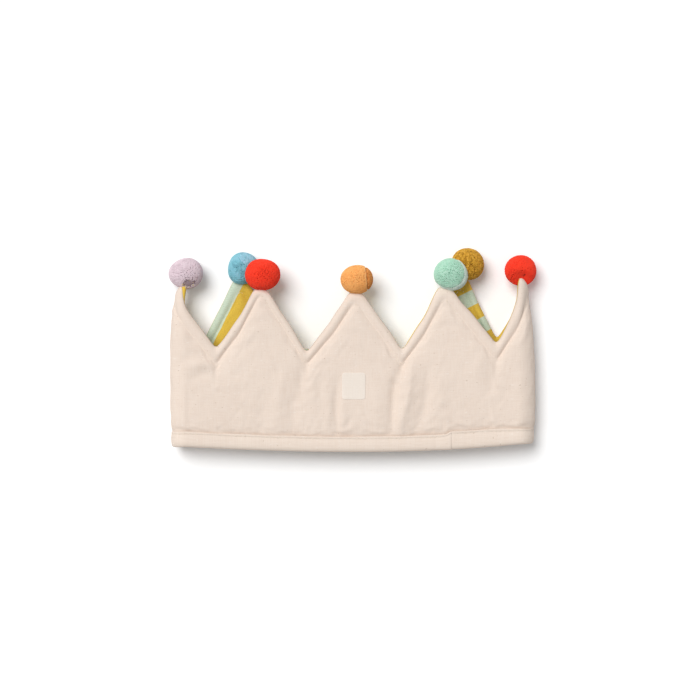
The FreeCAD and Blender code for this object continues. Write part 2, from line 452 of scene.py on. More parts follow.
liningLook = {
    "mustard": shown(232, 194, 78),
    "mint": shown(212, 228, 206),
    "stripe": 0.0106,
    "bendsAbove": 0.105,
    "thread": 0.00045,
}


def liningMaterial(name, angle, start, turnedTip=0.0):
    # stripes at an angle to the ring, bent round the tip where the cloth turns
    made, nodes, links, shader = material(name, 0.85, 0.04)
    uv = nodes.new("ShaderNodeUVMap")
    uv.uv_map = "cloth"
    place = uv.outputs[0]
    parts = nodes.new("ShaderNodeSeparateXYZ")
    links.new(place, parts.inputs[0])
    across = mathNode(nodes, links, "MULTIPLY", parts.outputs[0], math.cos(angle))
    up = mathNode(nodes, links, "MULTIPLY", parts.outputs[1], math.sin(angle))
    run = mathNode(nodes, links, "ADD", across, up)
    aboveTip = mathNode(nodes, links, "SUBTRACT", parts.outputs[1], liningLook["bendsAbove"])
    aboveTip = mathNode(nodes, links, "MAXIMUM", aboveTip, 0.0)
    run = mathNode(nodes, links, "ADD", run, mathNode(nodes, links, "MULTIPLY", aboveTip, turnedTip))
    wander = noiseNode(nodes, links, place, 240, 2)
    run = mathNode(nodes, links, "ADD", run, mathNode(nodes, links, "MULTIPLY", wander, 0.0006))
    turns = mathNode(nodes, links, "DIVIDE", run, 2 * liningLook["stripe"])
    share = mathNode(nodes, links, "FRACT", mathNode(nodes, links, "ADD", turns, start))
    stripes = rampNode(nodes, links, share, [(0.0, (0, 0, 0, 1)), (0.02, (1, 1, 1, 1)),
                                             (0.50, (1, 1, 1, 1)), (0.52, (0, 0, 0, 1))])
    grain = noiseNode(nodes, links, place, 1.0, 3, (900, 1400, 1))
    colours = []
    for key in ("mustard", "mint"):
        plain = liningLook[key]
        dark = tuple(channel * 0.84 for channel in plain[:3]) + (1,)
        colours.append(rampNode(nodes, links, grain, [(0.3, dark), (0.6, plain)]))
    links.new(mixColour(nodes, links, stripes, *colours), shader.inputs["Base Color"])
    weave = weaveHeight(nodes, links, place, liningLook["thread"])
    bumpNode(nodes, links, shader, weave, 0.00008)
    return made


def plainClothMaterial(name, colour, roughness=0.9, grainScale=1600, bump=0.00006):
    made, nodes, links, shader = material(name, roughness, 0.1)
    coords = nodes.new("ShaderNodeTexCoord")
    grain = noiseNode(nodes, links, coords.outputs["Object"], grainScale, 3)
    dark = tuple(channel * 0.86 for channel in colour[:3]) + (1,)
    toned = rampNode(nodes, links, grain, [(0.3, dark), (0.6, colour)])
    links.new(toned, shader.inputs["Base Color"])
    bumpNode(nodes, links, shader, grain, bump)
    return made


def pompomMaterial(name, look):
    made, nodes, links, shader = material(name, 0.95, 0.05)
    coords = nodes.new("ShaderNodeTexCoord")
    shade = nodes.new("ShaderNodeAttribute")
    shade.attribute_name = "tuftToneAndShade"
    ties = nodes.new("ShaderNodeAttribute")
    ties.attribute_name = "tieThread"
    patch = noiseNode(nodes, links, coords.outputs["Object"], look["grain"], 2)
    stops = [look["dark"], look["colour"], look["pale"]]
    light = tuple(0.75 * plain + 0.25 * pale for plain, pale in zip(look["colour"], look["pale"]))
    # tuft tone: the darkest end is the painted shade of pits, hollows, tuft bases and the core, the middle
    # is the yarn's own random tone, and the top is paler yarn plus the parting's painted highlight
    fibre = rampNode(nodes, links, shade.outputs["Fac"],
                     list(zip((0.0, 0.38, 0.86, 1.0), (look["dark"], look["colour"], light, look["pale"]))))
    spread = rampNode(nodes, links, patch, list(zip((0.34, 0.52, 0.68), stops)))
    mixed = mixColour(nodes, links, look["mottle"], fibre, spread)
    tied = mixColour(nodes, links, ties.outputs["Fac"], mixed, shown(226, 205, 160))
    links.new(tied, shader.inputs["Base Color"])
    fine = noiseNode(nodes, links, coords.outputs["Object"], 1500, 2)
    bumpNode(nodes, links, shader, fine, 0.00012)
    return made


canvas = canvasMaterial("canvas", canvasLook)
hemCanvas = canvasMaterial("hemCanvas", dict(canvasLook, base=shown(240, 223, 208)))
patchCloth = canvasMaterial("patchCloth", dict(
    canvasLook, base=shown(239, 227, 215), shade=shown(234, 221, 208),
    pale=shown(244, 235, 225), speck=shown(225, 210, 195)), 0.00005)
liningLeft = liningMaterial("liningLeft", math.radians(26.6), 0.78, 0.05)
liningRight = liningMaterial("liningRight", math.radians(64), 0.83)
waddingFibre = plainClothMaterial("waddingFibre", shown(240, 238, 233), 1.0, 700, 0.0004)
threadLook = plainClothMaterial("sewingThread", shown(240, 226, 208), 0.75, 3000, 0.00003)
print("materials made")


# The padded wall: two skins on one grid, closed at the zigzag edge and at the
# hem, then filled by pressure with its stitch lines held
wall = {
    "hemRows": 4,
    "panelRows": 30,
    "borderRows": 7,
    "foot": 1.6,             # the cloth's lower edge, inside the hem band
    "hemOut": 1.9,
    "grooveOut": 0.6,
    "rightGroove": 0.9,      # shallower by this on the right flanks
    "tipGroove": 1.9,
    "borderOut": 2.8,
    "panelOut": 3.6,
    "foldOut": 0.9,          # the folds stand out a little more
    "panelSwell": 2.6,       # how fast the panel fills beside a stitch line
    "hemSwell": 2.8,
    "edgeOut": 0.5,
    "slant": 0.62,           # a flank's rise to the distance across it
    "foldLeast": (2.3, 3.0),     # a fold stays this full, near its top and below
}
wall["rows"] = wall["hemRows"] + wall["panelRows"] + wall["borderRows"]
wall["grooveRow"] = wall["hemRows"] + wall["panelRows"]


def rowRise(girth, row):
    groove, tip, top = grooveRise(girth), edgeRise(girth), hemTop(girth)
    low = wall["foot"] + (top - wall["foot"]) * row / wall["hemRows"]
    climb = ((row - wall["hemRows"]) / wall["panelRows"]).clip(0, 1)
    climb = climb - 0.09 * np.sin(2 * math.pi * climb)        # closer rows beside the seams
    panel = top + (groove - top) * climb
    past = (row - wall["grooveRow"]) / wall["borderRows"]
    border = groove + (tip - groove) * past
    return np.where(row <= wall["hemRows"], low, np.where(row <= wall["grooveRow"], panel, border))


def grooveOut(girth):
    # the stitching sinks less on the right flanks and hardly at the tips
    falling = smoothStep(-0.5, 0.5, softened(girth - 1, True) - softened(girth + 1, True))
    tips = np.array([peak[0] + 1.5 for peak in peaks.values()])
    near = np.exp(-((np.min(np.abs(girth[..., None] - tips), axis=-1) / 4.2) ** 2))
    return wall["grooveOut"] + wall["rightGroove"] * falling * (1 - near) + wall["tipGroove"] * near


def rowOut(girth, row):
    past = np.clip((row - wall["grooveRow"]) / wall["borderRows"], 0, 1)
    groove = grooveOut(girth)
    ends = groove + (wall["edgeOut"] - groove) * past
    border = ends + (wall["borderOut"] - ends) * np.sin(past * math.pi) ** 0.75
    rise = rowRise(girth, row)
    below = (grooveRise(girth) - rise) * wall["slant"]
    above = rise - hemTop(girth)
    full = wall["panelOut"] - groove
    fall = (wall["panelOut"] - wall["hemOut"]) * np.exp(-np.maximum(above, 0) / wall["hemSwell"])
    panel = groove + full * (1 - np.exp(-np.maximum(below, 0) / wall["panelSwell"])) - fall
    low = np.full_like(girth, wall["hemOut"])
    out = np.where(row <= wall["hemRows"], low, np.where(row <= wall["grooveRow"], panel, border))
    fold = np.exp(-(((np.abs(girth) - ring["foldMiddle"]) / 10) ** 4))
    out += wall["foldOut"] * fold * np.sin(np.clip(rise / 95, 0, 1) * math.pi)
    least = np.where(past > 0.4, wall["edgeOut"], np.where(rise > 90, *wall["foldLeast"]))
    return np.maximum(out, least * fold)


def wallMesh():
    columns, rows = ring["columns"], wall["rows"]
    bm = bmesh.new()
    bmesh.ops.create_grid(bm, x_segments=columns, y_segments=rows, size=0.5)
    bmesh.ops.transform(bm, verts=bm.verts[:], matrix=Matrix.Diagonal((columns, rows, 1, 1))
                        @ Matrix.Translation((0.5, 0.5, 0)))
    lifted = bmesh.ops.extrude_face_region(bm, geom=bm.faces[:], use_keep_orig=True)
    top = [item for item in lifted["geom"] if isinstance(item, bmesh.types.BMVert)]
    bmesh.ops.translate(bm, vec=(0, 0, 1), verts=top)
    ends = [face for face in bm.faces
            if all(vert.co.x < 0.01 for vert in face.verts)
            or all(vert.co.x > columns - 0.01 for vert in face.verts)]
    bmesh.ops.delete(bm, geom=ends, context="FACES_ONLY")
    bmesh.ops.recalc_face_normals(bm, faces=bm.faces[:])
    if sum(face.normal.z for face in bm.faces if face.calc_center_median().z > 0.9) < 0:
        bmesh.ops.reverse_faces(bm, faces=bm.faces[:])
    girthLayer = bm.verts.layers.float.new("girth")
    rowLayer = bm.verts.layers.float.new("row")
    sideLayer = bm.verts.layers.float.new("side")
    uvLayer = bm.loops.layers.uv.new("cloth")
    grid = np.array([vert.co[:] for vert in bm.verts])
    girth = (grid[:, 0] / columns * 2 - 1) * ring["halfGirth"]
    rise = rowRise(girth, grid[:, 1])
    past = np.clip((grid[:, 1] - wall["grooveRow"]) / wall["borderRows"], 0, 1)
    rise += np.where(grid[:, 2] < 0.5, peep(girth) * past ** 2, 0)
    out = rowOut(girth, grid[:, 1]) * np.sign(grid[:, 2] - 0.5)
    spots = wrapRing(girth, rise, out)
    beside = np.exp(-(((girth - sidePeep["girth"]) / sidePeep["wide"]) ** 4))
    beside *= smoothStep(sidePeep["above"], sidePeep["above"] + 12, rise) * past ** 2
    spots[:, 0] += np.where(grid[:, 2] < 0.5, sidePeep["far"] * beside, 0)
    for index, vert in enumerate(bm.verts):
        vert.index = index
        vert[girthLayer] = girth[index]
        vert[rowLayer] = grid[index, 1]
        vert[sideLayer] = 1 if grid[index, 2] > 0.5 else -1
    for face in bm.faces:
        inner = sum(vert[sideLayer] for vert in face.verts) < 1
        right = face.calc_center_median().x > columns / 2
        face.material_index = (2 if right else 1) if inner else 0
        seam = len({vert[sideLayer] for vert in face.verts}) > 1
        for loop in face.loops:
            spot = loop.vert.index        # along the seam the lining shows one colour
            loop[uvLayer].uv = (0, 0) if seam else (girth[spot] * mm, rise[spot] * mm)
    for vert, spot in zip(bm.verts, spots):
        vert.co = spot
    bmesh.ops.remove_doubles(bm, verts=bm.verts[:], dist=0.001)
    return bm


def underPatch(girth, rise):
    # the patch's stitching keeps the cloth beneath it flat
    low, high = boxOf("label_patch")
    centre, half = (low + high) / 2, (high - low) / 2
    middle = centre.y - ring["hemLine"] + ring["frontSag"]
    across = (np.abs(girth - centre.x) / (half.x + 3)) ** 6
    return np.exp(-across - (np.abs(rise - middle) / (half.y + 3)) ** 6)


fill = {
    "pressure": 4.0,
    "frames": 20,
    "swell": -0.015,         # cloth cut larger than the wall that holds it
    "hold": 0.3,             # how firmly the wadding holds the loose cloth
    "cap": 0.8,
}


def fillWall(thing):
    mesh = thing.data
    before = readPoints(mesh)
    girth, row = readAttribute(mesh, "girth"), readAttribute(mesh, "row")
    held = thing.vertex_groups.new(name="stitched")
    for index, place in enumerate(row):
        stitched = place <= wall["hemRows"] or abs(place - wall["grooveRow"]) < 0.5
        stitched = stitched or place > wall["rows"] - 0.5
        held.add([index], 1.0 if stitched else fill["hold"], "REPLACE")
    cloth = thing.modifiers.new("fill", "CLOTH")
    settings = cloth.settings
    settings.quality = 6
    settings.mass = 0.15
    settings.tension_stiffness = 20
    settings.compression_stiffness = 20
    settings.shear_stiffness = 8
    settings.bending_stiffness = 0.6
    settings.vertex_group_mass = "stitched"
    settings.pin_stiffness = 1.0
    settings.use_pressure = True
    settings.uniform_pressure_force = fill["pressure"]
    settings.shrink_min = fill["swell"]
    settings.effector_weights.gravity = 0
    cloth.collision_settings.use_collision = False
    scene = bpy.context.scene
    for step in range(1, fill["frames"] + 1):
        scene.frame_set(step)
    ready = thing.evaluated_get(bpy.context.evaluated_depsgraph_get())
    moved = readPoints(ready.data) - before
    far = np.linalg.norm(moved, axis=1)
    print("cloth moved up to %.2f mm, %.2f mm on the middle" % (far.max() / mm, np.median(far) / mm))
    limit = fill["cap"] * mm
    panel = 1 - smoothStep(wall["grooveRow"] - 3, wall["grooveRow"], row)
    panel *= smoothStep(wall["hemRows"], wall["hemRows"] + 3, row)
    panel *= 1 - underPatch(girth, rowRise(girth, row))
    moved *= (panel * np.minimum(far, limit) / np.maximum(far, 1e-9))[:, None]
    thing.modifiers.remove(cloth)
    thing.vertex_groups.remove(held)
    writePoints(mesh, before + moved)
    scene.frame_set(1)


def layWall(thing):
    mesh = thing.data
    points = readPoints(mesh) / mm
    girth, row = readAttribute(mesh, "girth"), readAttribute(mesh, "row")
    rise = rowRise(girth, row)
    points = settle(points, girth, rise)
    front = 1 - smoothStep(ring["halfRun"] + 4, ring["halfRun"] + 14, np.abs(girth))
    stitched = np.exp(-((row - wall["grooveRow"]) / 1.2) ** 2) + (row > wall["grooveRow"] + 1)
    loose = np.clip(1 - stitched, 0, 1)
    points[:, 2] += front * loose * creaseHeight(points[:, 0], points[:, 1])
    normal = wrapRing(girth, rise, 1.0) - wrapRing(girth, rise, 0.0)
    side = readAttribute(mesh, "side")
    flat = 1 - underPatch(girth, rise)
    points += normal * (side * ripple(girth, rise) * loose * flat)[:, None]
    points[:, 2] = np.maximum(points[:, 2], clear["wall"])
    writePoints(mesh, points * mm)
    return points, girth, row, side


wallThing = newObject("paddedWall", wallMesh(), canvas, liningLeft, liningRight)
fillWall(wallThing)
print("wall filled")
points, girth, row, side = layWall(wallThing)
columnOf = np.round((girth / ring["halfGirth"] + 1) / 2 * ring["columns"]).astype(int) % ring["columns"]
skins = {}
for which in (1, -1):
    table = np.zeros((wall["rows"] + 1, ring["columns"], 3))
    chosen = side * which > 0
    table[np.round(row[chosen]).astype(int), columnOf[chosen]] = points[chosen]
    skins[which] = table


def onCloth(girth, row, which):
    # the point on a skin at a place round the ring, and the way it faces
    table = skins[which]
    column = (girth / ring["halfGirth"] + 1) / 2 * ring["columns"]

    def read(column, row):
        low, high = int(math.floor(column)), int(math.floor(row))
        high = min(high, wall["rows"] - 1)
        shareX, shareY = column - low, row - high
        left, right = low % ring["columns"], (low + 1) % ring["columns"]
        return ((table[high, left] * (1 - shareX) + table[high, right] * shareX) * (1 - shareY)
                + (table[high + 1, left] * (1 - shareX) + table[high + 1, right] * shareX) * shareY)

    spot = read(column, row)
    along = read(column + 0.5, row) - read(column - 0.5, row)
    up = read(column, min(row + 0.5, wall["rows"])) - read(column, max(row - 0.5, 0))
    facing = Vector(np.cross(along, up)) * which
    return Vector(spot), Vector(along).normalized(), facing.normalized()


# The wall's mesh is shared out to the cover, the two lengths of lining and the
# wadding between them
skin = {"cover": 0.8, "lining": 0.6, "wadding": 1.1}


def takeSkin(name, index, thick, material, node):
    bm = bmesh.new()
    bm.from_mesh(wallThing.data)
    other = [face for face in bm.faces if face.material_index != index]
    bmesh.ops.delete(bm, geom=other, context="FACES")
    for face in bm.faces:
        face.material_index = 0
    thing = linked(name, bm, material)
    makeFiner(thing)
    sheet = thing.modifiers.new("sheet", "SOLIDIFY")
    sheet.thickness = thick * mm
    sheet.offset = -1
    finish(thing, [node])
    return thing


coverCloth = takeSkin("coverCloth", 0, skin["cover"], canvas, "cover")
liningLeftCloth = takeSkin("liningLeftCloth", 1, skin["lining"], liningLeft,
                           "lining_left")
liningRightCloth = takeSkin("liningRightCloth", 2, skin["lining"], liningRight,
                            "lining_right")


def makeWadding():
    bm = bmesh.new()
    bm.from_mesh(wallThing.data)
    bm.normal_update()
    for vert, half in zip(bm.verts, rowOut(girth, row)):
        vert.co -= vert.normal * min(skin["wadding"], half * 0.8) * mm
    for face in bm.faces:
        face.material_index = 0
    thing = linked("waddingFill", bm, waddingFibre)
    finish(thing, ["wadding"])


makeWadding()
for lining, start in ((liningLeftCloth, -ring["halfGirth"]), (liningRightCloth, 0)):
    tall = edgeRise(np.linspace(start, start + ring["halfGirth"], 500))
bpy.data.objects.remove(wallThing)
print("cover, lining and wadding made")


# The hem band: one closed section led round the ring, its ends lapped
hem = {
    "columns": 330,
    "lapWidth": 5.0,
    "lapLift": 0.45,
    "stitchRise": 9.75,
    "stitchOut": 4.02,
    "atFold": 0.75,          # the band is pressed flatter where it folds
    "around": 27.0,          # the section's length, for the weave
}
hemSection = [
    # rise, out: down the outside, round the edge, up the inside and back
    (11.1, 2.9), (11.45, 3.3), (11.35, 3.85), (10.7, 4.2), (10.1, 4.15), (9.7, 3.98),
    (9.2, 4.15), (8.2, 4.38), (6.4, 4.48), (4.4, 4.42), (2.6, 4.22), (1.4, 3.75),
    (0.5, 2.9), (0.0, 1.2), (0.0, -1.2), (0.5, -2.9), (1.6, -3.75),
    (4.4, -4.15), (7.4, -4.2), (9.7, -3.9), (10.4, -4.1), (11.1, -3.8), (11.1, -3.0),
    (9.0, -2.75), (3.0, -2.75), (1.5, -1.9), (1.5, 1.9), (3.0, 2.4), (9.0, 2.4),
]


def hemPlace(girth, rise, out):
    length = 2 * ring["halfGirth"]
    turned = (girth + ring["halfGirth"]) % length - ring["halfGirth"]
    rise = rise + (hemTop(turned) - ring["hemHeight"]) * smoothStep(7, 10, rise)
    near = np.exp(-(((np.abs(turned) - ring["foldMiddle"]) / 13) ** 4))
    out = out - hem["atFold"] * near * smoothStep(2.9, 3.6, out)
    return settle(wrapRing(turned, rise, out), turned, rise)


def makeHemBand():
    start = ring["lapPlace"] - hem["lapWidth"] / 2
    length = 2 * ring["halfGirth"] + hem["lapWidth"]
    section = np.array(hemSection)
    bm = bmesh.new()
    bmesh.ops.create_grid(bm, x_segments=hem["columns"], y_segments=len(section), size=0.5)
    bmesh.ops.translate(bm, vec=(0.5, 0.5, 0), verts=bm.verts[:])
    uvLayer = bm.loops.layers.uv.new("cloth")
    for face in bm.faces:
        for loop in face.loops:
            place = loop.vert.co
            loop[uvLayer].uv = (place.x * length * mm, place.y * hem["around"] * mm)
    grid = np.array([vert.co[:] for vert in bm.verts])
    along = grid[:, 0] * length
    which = np.round(grid[:, 1] * len(section)).astype(int) % len(section)
    rise, out = section[which, 0], section[which, 1]
    girth = start + along
    pucker = (np.sin(girth / 0.95 + 2 * np.sin(girth / 31)) * 0.08
              + np.sin(girth / 4.7 + np.sin(girth / 13)) * 0.10)
    nearRow = np.exp(-((rise - hem["stitchRise"]) / 2.2) ** 2)
    seen = np.abs(out) > 3.1
    out = out + np.where(seen, np.sign(out) * pucker * (0.4 + nearRow), 0)
    rising = smoothStep(length - hem["lapWidth"] - 7, length - hem["lapWidth"], along)
    out = out + rising * hem["lapLift"] * np.clip(out / 2.2, -1, 1)
    rise = rise + rising * 0.2 * np.sign(rise - 6)
    rise = rise + np.where(rise > 10.5, 0.18 * np.sin(girth / 7.3 + np.sin(girth / 19)), 0)
    for vert, spot in zip(bm.verts, hemPlace(girth, rise, out)):
        vert.co = (spot[0], spot[1], max(spot[2], clear["hem"]))
    seam = [vert for vert, spot in zip(bm.verts, grid[:, 1]) if spot < 0.001 or spot > 0.999]
    bmesh.ops.remove_doubles(bm, verts=seam, dist=0.001)
    ends = [item for item in bm.edges if item.is_boundary]
    bmesh.ops.holes_fill(bm, edges=ends, sides=0)
    bmesh.ops.recalc_face_normals(bm, faces=bm.faces[:])
    band = newObject("hemBandCloth", bm, hemCanvas)
    makeFiner(band)
    finish(band, ["hem_band"])


makeHemBand()
print("hem band made")


# One small shape repeated by an array, then each copy moved to its own place
def repeated(name, shape, places):
    mesh = bpy.data.meshes.new(name)
    shape.to_mesh(mesh)
    shape.free()
    one = bpy.data.objects.new(name, mesh)
    bpy.context.scene.collection.objects.link(one)
    repeat = one.modifiers.new("repeat", "ARRAY")
    repeat.count = len(places)
    made = bpy.data.meshes.new_from_object(one.evaluated_get(bpy.context.evaluated_depsgraph_get()))
    bpy.data.objects.remove(one)
    places = np.array(places)
    turned = np.einsum("nij,kj->nki", places[:, :3, :3], readPoints(mesh))
    writePoints(made, turned + places[:, None, :3, 3])
    copies = bmesh.new()
    copies.from_mesh(made)
    return copies, len(mesh.vertices)


# Stitches: short threads that sink at both ends
stitch = {"length": 2.4, "pitch": 3.1, "thick": 0.5}


def makeStitches(name, spots):
    # a spot is a point, the way along the thread and the way the cloth faces
    shape = bmesh.new()
    bmesh.ops.create_icosphere(shape, subdivisions=1, radius=0.5)
    places = []
    for spot, along, facing in spots:
        side = facing.cross(along).normalized()
        turn = Matrix((along, side, along.cross(side).normalized())).transposed().to_4x4()
        size = Matrix.Diagonal((stitch["length"], stitch["thick"], stitch["thick"], 1))
        places.append(Matrix.Translation(spot) @ turn @ size)
    thread, _ = repeated(name, shape, places)
    finish(newObject(name, thread, threadLook))


def borderSpots(which):
    girths = np.linspace(-ring["halfGirth"], ring["halfGirth"], 1200)
    run, last, kept = 0.0, None, []
    for place in girths:
        spot, along, facing = onCloth(place, wall["grooveRow"], which)
        run += (spot - last).length if last else 0
        last = spot
        if run >= stitch["pitch"]:
            kept.append((spot, along, facing))
            run -= stitch["pitch"]
    return kept


def hemSpots(sign):
    count = int(2 * ring["halfGirth"] / stitch["pitch"])
    places = (np.arange(count) + 0.5) / count * 2 * ring["halfGirth"] - ring["halfGirth"]
    rise, out = np.full(count, hem["stitchRise"]), np.full(count, sign * hem["stitchOut"])
    here, ahead = hemPlace(places, rise, out), hemPlace(places + 0.5, rise, out)
    above = hemPlace(places, rise, out + sign * 0.5)
    for spot, along, facing in zip(here, ahead - here, above - here):
        yield Vector(spot), Vector(along).normalized(), Vector(facing).normalized()


makeStitches("borderStitchesOutside", borderSpots(1))
makeStitches("borderStitchesInside", borderSpots(-1))
makeStitches("hemStitchesOutside", hemSpots(1))
makeStitches("hemStitchesInside", hemSpots(-1))
print("stitches made")


# The patch: a bare piece of cloth that follows the front panel
patch = {"round": 2.0, "cells": (17, 19), "thick": 0.36, "sink": 0.12}


def frontRow(girth, rise):
    rows = np.linspace(wall["hemRows"], wall["grooveRow"], 300)
    return float(np.interp(rise, rowRise(np.full_like(rows, girth), rows), rows))


def makePatch():
    low, high = boxOf("label_patch")
    centre, half = (low + high) / 2, (high - low) / 2
    bm = bmesh.new()
    bmesh.ops.create_grid(bm, x_segments=patch["cells"][0], y_segments=patch["cells"][1], size=0.5)
    for vert in bm.verts:
        place = Vector((vert.co.x * 2 * half.x, vert.co.y * 2 * half.y))
        corner = Vector((math.copysign(half.x - patch["round"], place.x),
                         math.copysign(half.y - patch["round"], place.y)))
        past = place - corner
        outside = past.x * place.x > 0 and past.y * place.y > 0
        if outside and past.length > patch["round"]:
            place = corner + past.normalized() * patch["round"]
        vert.co = (place.x, place.y, 0)
    uvLayer = bm.loops.layers.uv.new("cloth")
    for face in bm.faces:
        for loop in face.loops:
            loop[uvLayer].uv = (loop.vert.co.x * mm, loop.vert.co.y * mm)
    lifted = bmesh.ops.extrude_face_region(bm, geom=bm.faces[:], use_keep_orig=True)
    top = [item for item in lifted["geom"] if isinstance(item, bmesh.types.BMVert)]
    bmesh.ops.translate(bm, vec=(0, 0, 1), verts=top)
    for vert in bm.verts:
        x, y = centre.x + vert.co.x, centre.y + vert.co.y
        share = min(abs(x) / ring["halfRun"], 1)
        rise = y - ring["hemLine"] + ring["frontSag"] * (1 - share ** 2)
        spot, along, facing = onCloth(x, frontRow(x, rise), 1)
        height = patch["thick"] - patch["sink"] if vert.co.z > 0.5 else -patch["sink"]
        vert.co = spot + facing * height
    bmesh.ops.recalc_face_normals(bm, faces=bm.faces[:])
    thing = newObject("labelPatchCloth", bm, patchCloth)
    makeFiner(thing)
    finish(thing, ["label_patch"])


makePatch()
print("patch made")


# Pompoms: a soft core and a close pile of cut yarn ends
plainBall = {
    "size": 1.0,             # to the solid's own
    "mottle": 0.12, "grain": 190,
    "pits": 0.004,           # share of tufts that are missing, their pits painted dark as shade
    "flat": [],              # way and distance of faces that are pressed flat
    "hollow": [],            # way, spread and depth of a hollow, painted mostly dark inside as shade
    "ties": 0,               # share of pale tie thread in a hollow
    "paleSide": None,        # way of a paler side, or "rim"
    "parting": None,
}
redYarn = {"colour": shown(255, 66, 42), "pale": shown(255, 84, 58), "dark": shown(176, 30, 14)}
pompoms = {
    "pompom_lavender": {
        **plainBall, "colour": shown(230, 210, 218), "pale": shown(238, 224, 230),
        "dark": shown(132, 104, 116), "size": 1.02, "shape": (1.05, 0.94), "photo": (186.3, 273.6),
        "mottle": 0.15, "pits": 0.008, "hollow": [((0.22, -0.70, 0.66), 0.42, 1.3)], "ties": 0.16},
    "pompom_blue": {
        **plainBall, "colour": shown(136, 202, 216), "pale": shown(172, 212, 232),
        "dark": shown(45, 105, 120), "shape": (0.97, 1.02), "photo": (243.0, 268.6),
        "mottle": 0.3, "pits": 0.02, "paleSide": (0.4, 0.7, 0.6)},
    "pompom_red_left": {
        **plainBall, **redYarn, "shape": (1.07, 0.94), "photo": (262.3, 274.6),
        "flat": [((0, -0.95, 0.31), 0.90)]},
    "pompom_orange": {
        **plainBall, "colour": shown(252, 180, 104), "pale": shown(255, 196, 128),
        "dark": shown(196, 112, 44), "shape": (1.03, 0.92), "photo": (356.8, 279.6),
        "mottle": 0.2, "grain": 260, "pits": 0.005, "flat": [((0, -0.95, 0.31), 0.90)],
        "parting": 0.66},
    "pompom_mint": {
        **plainBall, "colour": shown(175, 223, 198), "pale": shown(228, 242, 232),
        "dark": shown(112, 160, 138), "size": 0.97, "shape": (1.03, 0.97), "photo": (450.5, 274.4),
        "pits": 0.006, "flat": [((-0.2, -0.93, 0.31), 0.95)], "paleSide": "rim"},
    "pompom_mustard": {
        **plainBall, "colour": shown(214, 160, 52), "pale": shown(232, 184, 84),
        "dark": shown(128, 84, 14), "size": 1.02, "shape": (0.95, 1.0), "photo": (467.2, 263.6),
        "mottle": 0.62, "grain": 560, "pits": 0.05},
    "pompom_red_right": {
        **plainBall, **redYarn, "shape": (0.97, 0.98), "photo": (521.4, 270.6),
        "flat": [((0.05, -0.66, 0.75), 0.78)], "hollow": [((0.12, -0.42, 0.9), 0.16, 0.5)]},
}
pile = {"tufts": 2300, "width": 0.58, "long": 2.2, "core": 0.92, "lobes": 0.065, "pit": 0.9,
        "apart": 0.15}
pressed = [("pompom_red_left", "pompom_blue"), ("pompom_mint", "pompom_mustard")]
view = {"height": 1520.0, "plane": 20.0}


def ballPlace(node):
    low, high = boxOf(node)
    height = (low.z + high.z) / 2
    x, y = fromPhoto(*pompoms[node]["photo"])
    nearer = (view["height"] - height) / (view["height"] - view["plane"])
    return Vector((x * nearer, y * nearer, height)), max(high - low) / 2 * pompoms[node]["size"]


def scatter(draw):
    return Vector((draw.gauss(0, 1), draw.gauss(0, 1), draw.gauss(0, 1)))


